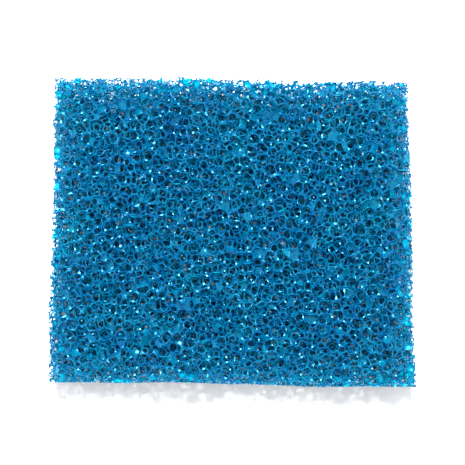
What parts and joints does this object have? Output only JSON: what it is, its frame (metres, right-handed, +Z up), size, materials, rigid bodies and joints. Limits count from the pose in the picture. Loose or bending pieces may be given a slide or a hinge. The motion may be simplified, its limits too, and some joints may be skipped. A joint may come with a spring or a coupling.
{
  "type": "filter foam sheet",
  "caption": "Flat, nearly rectangular sheet of coarse open-cell blue filter foam for a pond or aquarium filter, cut by hand so that its right side leans in.",
  "frame": {"origin": "middle of the underside, on the surface that the sheet lies on", "axes": "+X along the longer side, +Y along the shorter side, +Z up through the thickness"},
  "size_m": [0.1399, 0.117, 0.02],
  "materials": {
    "foam": "dyed open-cell polyurethane foam with smooth, slightly shiny struts"
  },
  "bodies": {
    "root": {"foam_pad": "foam"}
  },
  "joints": []
}
